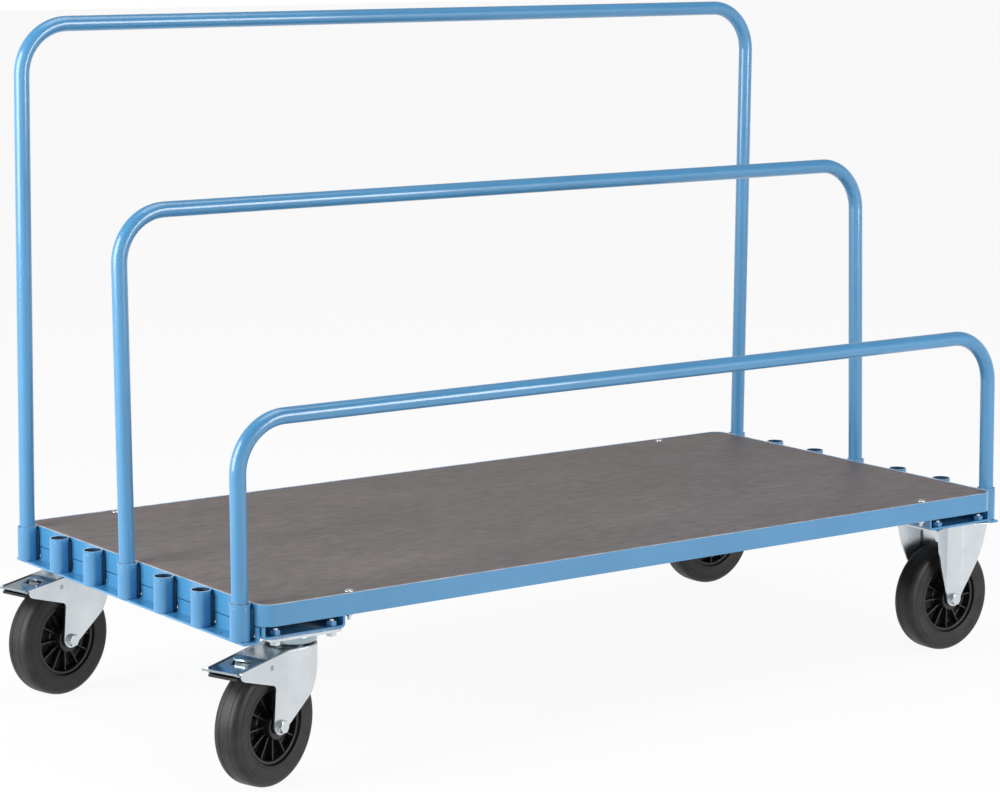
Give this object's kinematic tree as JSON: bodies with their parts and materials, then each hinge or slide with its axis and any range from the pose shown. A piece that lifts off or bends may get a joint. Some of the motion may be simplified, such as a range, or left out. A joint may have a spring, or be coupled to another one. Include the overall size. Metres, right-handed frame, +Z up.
{
  "type": "sheet goods cart",
  "caption": "Flat deck cart with brake casters and fixed casters, rows of end sockets and lift-out tube hoops of stepped heights that hold sheets upright.",
  "frame": {"origin": "on the floor, in the middle of the whole footprint with the casters as they stand", "axes": "+X along the deck from the swivel casters to the fixed casters, +Y from the low hoop to the tall hoop, +Z up"},
  "size_m": [1.7298, 0.8344, 1.1898],
  "materials": {
    "blue_paint": "smooth satin powder coat",
    "coated_plywood": "film-faced plywood with a fine anti-slip mesh",
    "zinc": "bright zinc plate",
    "rubber": "matt solid rubber",
    "black_plastic": "moulded, lightly glossy"
  },
  "bodies": {
    "chassis": {"deck_board": "coated_plywood", "front_edge_frame": "blue_paint", "rear_edge_frame": "blue_paint", "front_left_deck_bolt": "zinc", "front_right_deck_bolt": "zinc", "rear_left_deck_bolt": "zinc", "rear_right_deck_bolt": "zinc", "left_socket_rail": "blue_paint", "left_socket_1": "blue_paint", "left_socket_2": "blue_paint", "left_socket_3": "blue_paint", "left_socket_4": "blue_paint", "left_socket_5": "blue_paint", "left_socket_6": "blue_paint", "left_socket_7": "blue_paint", "right_socket_rail": "blue_paint", "right_socket_1": "blue_paint", "right_socket_2": "blue_paint", "right_socket_3": "blue_paint", "right_socket_4": "blue_paint", "right_socket_5": "blue_paint", "right_socket_6": "blue_paint", "right_socket_7": "blue_paint", "left_caster_channel": "blue_paint", "right_caster_channel": "blue_paint", "front_left_top_plate": "zinc", "front_left_king_bolt": "zinc", "front_left_ball_race": "zinc", "rear_left_top_plate": "zinc", "rear_left_king_bolt": "zinc", "rear_left_ball_race": "zinc", "front_right_fork": "zinc", "front_right_axle_tube": "zinc", "front_right_axle_bolt": "zinc", "front_right_axle_nut": "zinc", "rear_right_fork": "zinc", "rear_right_axle_tube": "zinc", "rear_right_axle_bolt": "zinc", "rear_right_axle_nut": "zinc"},
    "tall_hoop": {"tall_hoop": "blue_paint"},
    "middle_hoop": {"middle_hoop": "blue_paint"},
    "low_hoop": {"low_hoop": "blue_paint"},
    "front_left_swivel": {"front_left_fork": "zinc", "front_left_axle_tube": "zinc", "front_left_axle_bolt": "zinc", "front_left_axle_nut": "zinc"},
    "front_left_wheel": {"front_left_tyre": "rubber", "front_left_rim": "black_plastic"},
    "front_left_pedal": {"front_left_brake_pedal": "zinc"},
    "rear_left_swivel": {"rear_left_fork": "zinc", "rear_left_axle_tube": "zinc", "rear_left_axle_bolt": "zinc", "rear_left_axle_nut": "zinc"},
    "rear_left_wheel": {"rear_left_tyre": "rubber", "rear_left_rim": "black_plastic"},
    "rear_left_pedal": {"rear_left_brake_pedal": "zinc"},
    "front_right_wheel": {"front_right_tyre": "rubber", "front_right_rim": "black_plastic"},
    "rear_right_wheel": {"rear_right_tyre": "rubber", "rear_right_rim": "black_plastic"}
  },
  "joints": [
    {"name": "tall_hoop_lift", "type": "slide", "parent": "chassis", "child": "tall_hoop", "axis": [0, -0.0122, 0.9999], "range_m": [0, 0.09]},
    {"name": "middle_hoop_lift", "type": "slide", "parent": "chassis", "child": "middle_hoop", "axis": [0, 0.0262, 0.9997], "range_m": [0, 0.09]},
    {"name": "low_hoop_lift", "type": "slide", "parent": "chassis", "child": "low_hoop", "axis": [0, 0.014, 0.9999], "range_m": [0, 0.09]},
    {"name": "front_left_swivel_turn", "type": "hinge", "parent": "chassis", "child": "front_left_swivel", "pos_m": [-0.6831, -0.32479, 0.22], "axis": [0, 0, 1], "continuous": true},
    {"name": "front_left_wheel_spin", "type": "hinge", "parent": "front_left_swivel", "child": "front_left_wheel", "pos_m": [-0.74547, -0.34638, 0.1], "axis": [-0.3272, 0.9449, 0], "continuous": true},
    {"name": "front_left_pedal_press", "type": "hinge", "parent": "front_left_swivel", "child": "front_left_pedal", "pos_m": [-0.76626, -0.35358, 0.1988], "axis": [0.3272, -0.9449, 0], "range_deg": [0, 8]},
    {"name": "rear_left_swivel_turn", "type": "hinge", "parent": "chassis", "child": "rear_left_swivel", "pos_m": [-0.6831, 0.35921, 0.22], "axis": [0, 0, 1], "continuous": true},
    {"name": "rear_left_wheel_spin", "type": "hinge", "parent": "rear_left_swivel", "child": "rear_left_wheel", "pos_m": [-0.74694, 0.34247, 0.1], "axis": [-0.2538, 0.9673, 0], "continuous": true},
    {"name": "rear_left_pedal_press", "type": "hinge", "parent": "rear_left_swivel", "child": "rear_left_pedal", "pos_m": [-0.76822, 0.33688, 0.1988], "axis": [0.2538, -0.9673, 0], "range_deg": [0, 8]},
    {"name": "front_right_wheel_spin", "type": "hinge", "parent": "chassis", "child": "front_right_wheel", "pos_m": [0.7529, -0.32479, 0.1], "axis": [0, 1, 0], "continuous": true},
    {"name": "rear_right_wheel_spin", "type": "hinge", "parent": "chassis", "child": "rear_right_wheel", "pos_m": [0.7529, 0.35921, 0.1], "axis": [0, 1, 0], "continuous": true}
  ]
}
